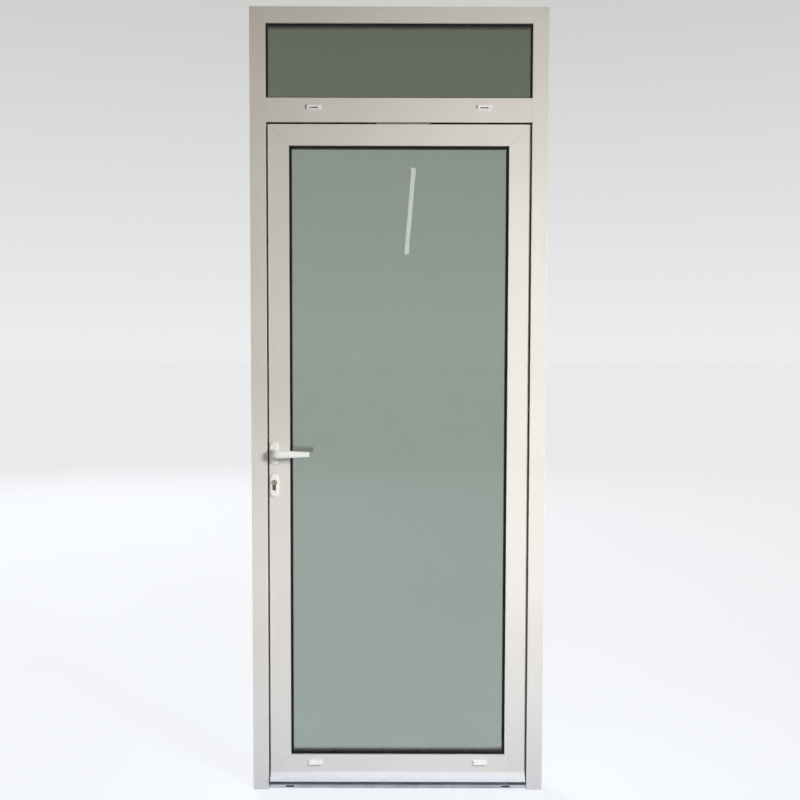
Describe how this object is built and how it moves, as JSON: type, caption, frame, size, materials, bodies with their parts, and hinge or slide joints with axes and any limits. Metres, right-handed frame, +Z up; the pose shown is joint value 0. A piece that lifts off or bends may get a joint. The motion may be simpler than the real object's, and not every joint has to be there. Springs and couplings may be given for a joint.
{
  "type": "glazed aluminium entrance door with top light",
  "caption": "Cream aluminium framed glass door with a glazed top light, an inward swinging leaf, lever handles, a cylinder lock, drain caps, a weather bar and a low threshold.",
  "frame": {"origin": "on the floor under the threshold, at mid width and mid depth of the frame", "axes": "+Z up, +X towards the hinge jamb, +Y from outside to inside"},
  "size_m": [0.9, 0.183, 2.4],
  "materials": {
    "cream_paint": "satin",
    "anodised_aluminium": "satin",
    "mill_aluminium": "matte",
    "black_polyamide": "matte",
    "black_rubber": "matte",
    "float_glass": "gloss",
    "white_moulding": "satin",
    "white_lacquer": "satin",
    "lock_steel": "satin",
    "cylinder_nickel_brass": "satin"
  },
  "bodies": {
    "frame": {"frame_stop_gasket": "black_rubber", "frame_thermal_strips": "black_polyamide", "head": "cream_paint", "head_corner_cleats": "mill_aluminium", "hinge_jamb": "cream_paint", "hinge_pins": "lock_steel", "lock_jamb": "cream_paint", "lower_hinge_frame_wing": "white_lacquer", "middle_hinge_frame_wing": "white_lacquer", "strike_plate": "lock_steel", "threshold": "anodised_aluminium", "threshold_end_blocks": "black_polyamide", "toplight_beads": "cream_paint", "toplight_inner_gasket": "black_rubber", "toplight_inner_pane": "float_glass", "toplight_outer_gasket": "black_rubber", "toplight_outer_pane": "float_glass", "toplight_setting_blocks": "black_polyamide", "toplight_spacer": "black_polyamide", "transom": "cream_paint", "transom_connectors": "mill_aluminium", "transom_drain_caps": "white_moulding", "upper_hinge_frame_wing": "white_lacquer"},
    "leaf": {"leaf_beads": "cream_paint", "leaf_corner_cleats": "mill_aluminium", "leaf_drain_caps": "white_moulding", "leaf_inner_gasket": "black_rubber", "leaf_inner_pane": "float_glass", "leaf_outer_gasket": "black_rubber", "leaf_outer_pane": "float_glass", "leaf_overlap_gasket": "black_rubber", "leaf_setting_blocks": "black_polyamide", "leaf_spacer": "black_polyamide", "leaf_thermal_strips": "black_polyamide", "lock_stile": "cream_paint", "hinge_stile": "cream_paint", "top_rail": "cream_paint", "bottom_rail": "cream_paint", "bottom_brush_seal": "black_polyamide", "weather_bar": "cream_paint", "weather_bar_end_caps": "white_moulding", "lock_faceplate": "lock_steel", "lock_case": "lock_steel", "cylinder_body": "cylinder_nickel_brass", "cylinder_screw": "lock_steel", "outer_rose": "white_lacquer", "inner_rose": "white_lacquer", "outer_escutcheon": "white_lacquer", "inner_escutcheon": "white_lacquer", "lower_hinge_leaf_wing": "white_lacquer", "middle_hinge_leaf_wing": "white_lacquer", "upper_hinge_leaf_wing": "white_lacquer"},
    "handle": {"outer_lever": "white_lacquer", "inner_lever": "white_lacquer", "spindle": "lock_steel", "lock_follower": "lock_steel"},
    "latch": {"latch_bolt": "lock_steel"},
    "bolt": {"dead_bolt": "lock_steel"},
    "outer_key_plug": {"outer_plug": "cylinder_nickel_brass"},
    "inner_key_plug": {"inner_plug": "cylinder_nickel_brass"}
  },
  "joints": [
    {"name": "leaf_swing", "type": "hinge", "parent": "frame", "child": "leaf", "pos_m": [0.433, 0.052, 1], "axis": [0, 0, -1], "range_deg": [0, 100]},
    {"name": "handle_turn", "type": "hinge", "parent": "leaf", "child": "handle", "pos_m": [-0.382, 0.02, 1.056], "axis": [0, 1, 0], "range_deg": [0, 40], "stiffness_Nm_per_rad": 1.2, "springref_deg": -20.05},
    {"name": "latch_slide", "type": "slide", "parent": "leaf", "child": "latch", "axis": [1, 0, 0], "range_m": [0, 0.011]},
    {"name": "outer_key_turn", "type": "hinge", "parent": "leaf", "child": "outer_key_plug", "pos_m": [-0.382, 0, 0.964], "axis": [0, 1, 0], "range_deg": [0, 360]},
    {"name": "inner_key_turn", "type": "hinge", "parent": "leaf", "child": "inner_key_plug", "pos_m": [-0.382, 0.04, 0.964], "axis": [0, 1, 0], "range_deg": [0, 360]},
    {"name": "dead_bolt_slide", "type": "slide", "parent": "leaf", "child": "bolt", "axis": [-1, 0, 0], "range_m": [0, 0.02]}
  ],
  "couplings": [
    {"joint": "latch_slide", "follows": "handle_turn", "m_per_rad": 0.015756},
    {"joint": "outer_key_turn", "follows": "dead_bolt_slide", "rad_per_m": 314.16}
  ]
}
